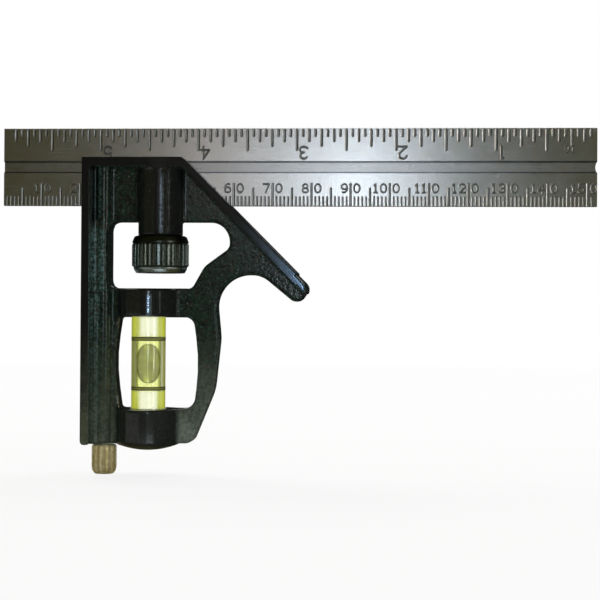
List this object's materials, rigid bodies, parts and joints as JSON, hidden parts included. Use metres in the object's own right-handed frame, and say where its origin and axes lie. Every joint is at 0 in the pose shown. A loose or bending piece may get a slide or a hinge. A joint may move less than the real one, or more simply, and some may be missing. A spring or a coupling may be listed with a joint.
{
  "type": "combination square",
  "caption": "Combination square: cast head with 90 and 45 degree faces, sliding grooved rule, lock bolt with knurled nut, level vial and push-in scriber.",
  "frame": {"origin": "inside corner of the square, where the rule's lower edge crosses the reference (90 degree) face, at mid-thickness", "axes": "+X along the rule away from the reference face, +Z across the rule away from the leg, -Y is the front with the groove and the lock nut"},
  "size_m": [0.1523, 0.0176, 0.0892],
  "materials": {
    "head_enamel": "dark green-black hammer-finish enamel on cast metal, machined faces painted black",
    "rule_steel": "satin ground steel with stamped graduations",
    "black_oxide": "black oxide, semi-gloss",
    "spring_steel": "drawn spring wire",
    "vial_acrylic": "clear tinted acrylic",
    "vial_plug_plastic": "moulded plug",
    "vial_fluid": "fluorescent yellow-green spirit",
    "bubble_air": "air bubble",
    "ring_ink": "black level marks",
    "cement": "setting cement",
    "tool_steel": "hardened ground steel",
    "knob_brass": "turned and knurled brass",
    "bush_nylon": "natural nylon"
  },
  "bodies": {
    "head": {"head_casting": "head_enamel", "vial_tube": "vial_acrylic", "vial_end_plug": "vial_plug_plastic", "vial_liquid": "vial_fluid", "vial_level_rings": "ring_ink", "vial_cement": "cement", "vial_bore_plug": "head_enamel", "scriber_bush": "bush_nylon", "lock_spring": "spring_steel"},
    "rule": {"rule_blade": "rule_steel"},
    "bolt": {"lock_bolt": "black_oxide"},
    "nut": {"lock_nut": "black_oxide"},
    "scriber": {"scriber_needle": "tool_steel", "scriber_knob": "knob_brass"},
    "bubble": {"vial_bubble": "bubble_air"}
  },
  "joints": [
    {"name": "rule_slide", "type": "slide", "parent": "head", "child": "rule", "axis": [1, 0, 0], "range_m": [-0.105, 0.03]},
    {"name": "nut_turn", "type": "hinge", "parent": "head", "child": "nut", "pos_m": [0.0195, -0.0023, -0.0125], "axis": [0, 0, 1], "range_deg": [-460, 0]},
    {"name": "bolt_lift", "type": "slide", "parent": "head", "child": "bolt", "axis": [0, 0, 1], "range_m": [0, 0.0009], "deforming": ["lock_spring"]},
    {"name": "scriber_pull", "type": "slide", "parent": "head", "child": "scriber", "axis": [0, 0, -1], "range_m": [0, 0.056]},
    {"name": "bubble_travel", "type": "slide", "parent": "head", "child": "bubble", "axis": [0, 0, 1], "range_m": [-0.0045, 0.0045]}
  ],
  "couplings": [
    {"joint": "bolt_lift", "follows": "nut_turn", "m_per_rad": -0.00011141}
  ]
}
